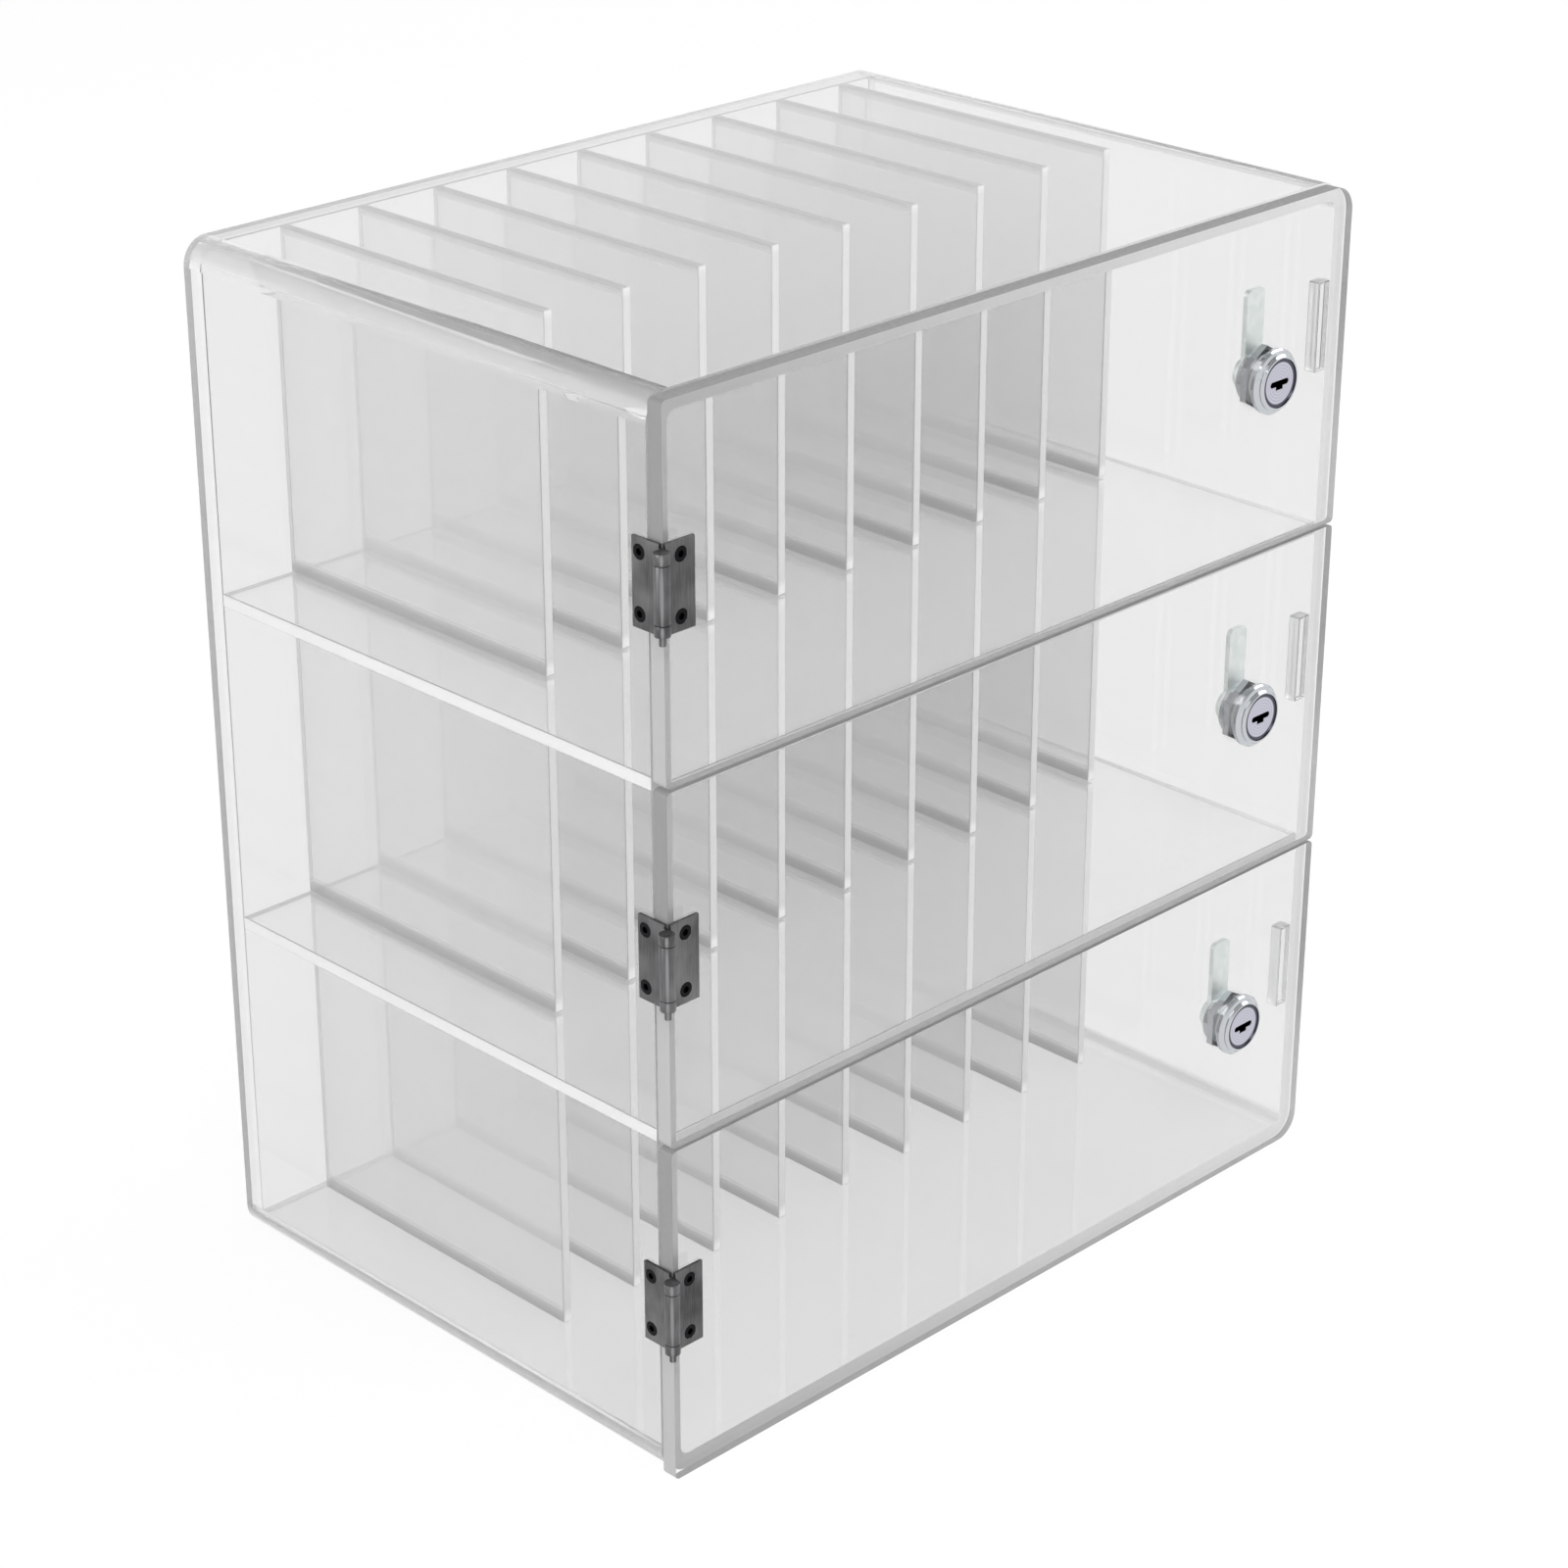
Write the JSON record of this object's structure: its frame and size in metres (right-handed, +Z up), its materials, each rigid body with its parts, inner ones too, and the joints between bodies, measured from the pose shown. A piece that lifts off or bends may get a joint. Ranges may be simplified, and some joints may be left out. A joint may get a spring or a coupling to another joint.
{
  "type": "cell phone locker box",
  "caption": "Clear acrylic locker box on stacked tiers, with upright dividers for phones and a hinged door with a cam lock on every tier.",
  "frame": {"origin": "centre of the underside of the shell, on the surface the box stands on", "axes": "+Z up, the doors face -Y with their hinges at -X and their locks at +X"},
  "size_m": [0.2844, 0.1998, 0.321],
  "materials": {
    "shell_acrylic": "clear, polished, heat-bent",
    "shelf_acrylic": "clear, polished",
    "door_acrylic": "clear, polished edges",
    "divider_acrylic": "clear, polished edges",
    "hinge_steel": "brushed, dark nickel",
    "screw_steel": "blackened",
    "lock_chrome": "polished",
    "plug_chrome": "satin",
    "cam_zinc": "zinc plated"
  },
  "bodies": {
    "cabinet": {"shell": "shell_acrylic", "back_panel": "shell_acrylic", "shelves": "shelf_acrylic", "divider_bottom_1": "divider_acrylic", "divider_bottom_2": "divider_acrylic", "divider_bottom_3": "divider_acrylic", "divider_bottom_4": "divider_acrylic", "divider_bottom_5": "divider_acrylic", "divider_bottom_6": "divider_acrylic", "divider_bottom_7": "divider_acrylic", "divider_bottom_8": "divider_acrylic", "divider_bottom_9": "divider_acrylic", "divider_middle_1": "divider_acrylic", "divider_middle_2": "divider_acrylic", "divider_middle_3": "divider_acrylic", "divider_middle_4": "divider_acrylic", "divider_middle_5": "divider_acrylic", "divider_middle_6": "divider_acrylic", "divider_middle_7": "divider_acrylic", "divider_middle_8": "divider_acrylic", "divider_middle_9": "divider_acrylic", "divider_top_1": "divider_acrylic", "divider_top_2": "divider_acrylic", "divider_top_3": "divider_acrylic", "divider_top_4": "divider_acrylic", "divider_top_5": "divider_acrylic", "divider_top_6": "divider_acrylic", "divider_top_7": "divider_acrylic", "divider_top_8": "divider_acrylic", "divider_top_9": "divider_acrylic", "hinge_wall_leaf_bottom": "hinge_steel", "hinge_wall_leaf_middle": "hinge_steel", "hinge_wall_leaf_top": "hinge_steel", "hinge_pins": "hinge_steel", "hinge_wall_screws": "screw_steel", "strikes": "divider_acrylic"},
    "door_bottom": {"door_bottom": "door_acrylic", "hinge_door_leaf_bottom": "hinge_steel", "hinge_door_screws_bottom": "screw_steel", "lock_housing_bottom": "lock_chrome", "lock_nut_bottom": "lock_chrome"},
    "lock_bottom": {"lock_plug_bottom": "plug_chrome", "lock_cam_bottom": "cam_zinc", "cam_screw_bottom": "cam_zinc"},
    "door_middle": {"door_middle": "door_acrylic", "hinge_door_leaf_middle": "hinge_steel", "hinge_door_screws_middle": "screw_steel", "lock_housing_middle": "lock_chrome", "lock_nut_middle": "lock_chrome"},
    "lock_middle": {"lock_plug_middle": "plug_chrome", "lock_cam_middle": "cam_zinc", "cam_screw_middle": "cam_zinc"},
    "door_top": {"door_top": "door_acrylic", "hinge_door_leaf_top": "hinge_steel", "hinge_door_screws_top": "screw_steel", "lock_housing_top": "lock_chrome", "lock_nut_top": "lock_chrome"},
    "lock_top": {"lock_plug_top": "plug_chrome", "lock_cam_top": "cam_zinc", "cam_screw_top": "cam_zinc"}
  },
  "joints": [
    {"name": "door_bottom_hinge", "type": "hinge", "parent": "cabinet", "child": "door_bottom", "pos_m": [-0.1422, -0.1026, 0.0565], "axis": [0, 0, -1], "range_deg": [0, 270]},
    {"name": "lock_bottom_turn", "type": "hinge", "parent": "door_bottom", "child": "lock_bottom", "pos_m": [0.106, -0.0954, 0.0535], "axis": [0, 1, 0], "range_deg": [0, 90]},
    {"name": "door_middle_hinge", "type": "hinge", "parent": "cabinet", "child": "door_middle", "pos_m": [-0.1422, -0.1026, 0.1635], "axis": [0, 0, -1], "range_deg": [0, 270]},
    {"name": "lock_middle_turn", "type": "hinge", "parent": "door_middle", "child": "lock_middle", "pos_m": [0.106, -0.0954, 0.1605], "axis": [0, 1, 0], "range_deg": [0, 90]},
    {"name": "door_top_hinge", "type": "hinge", "parent": "cabinet", "child": "door_top", "pos_m": [-0.1422, -0.1026, 0.2705], "axis": [0, 0, -1], "range_deg": [0, 270]},
    {"name": "lock_top_turn", "type": "hinge", "parent": "door_top", "child": "lock_top", "pos_m": [0.106, -0.0954, 0.2675], "axis": [0, 1, 0], "range_deg": [0, 90]}
  ]
}
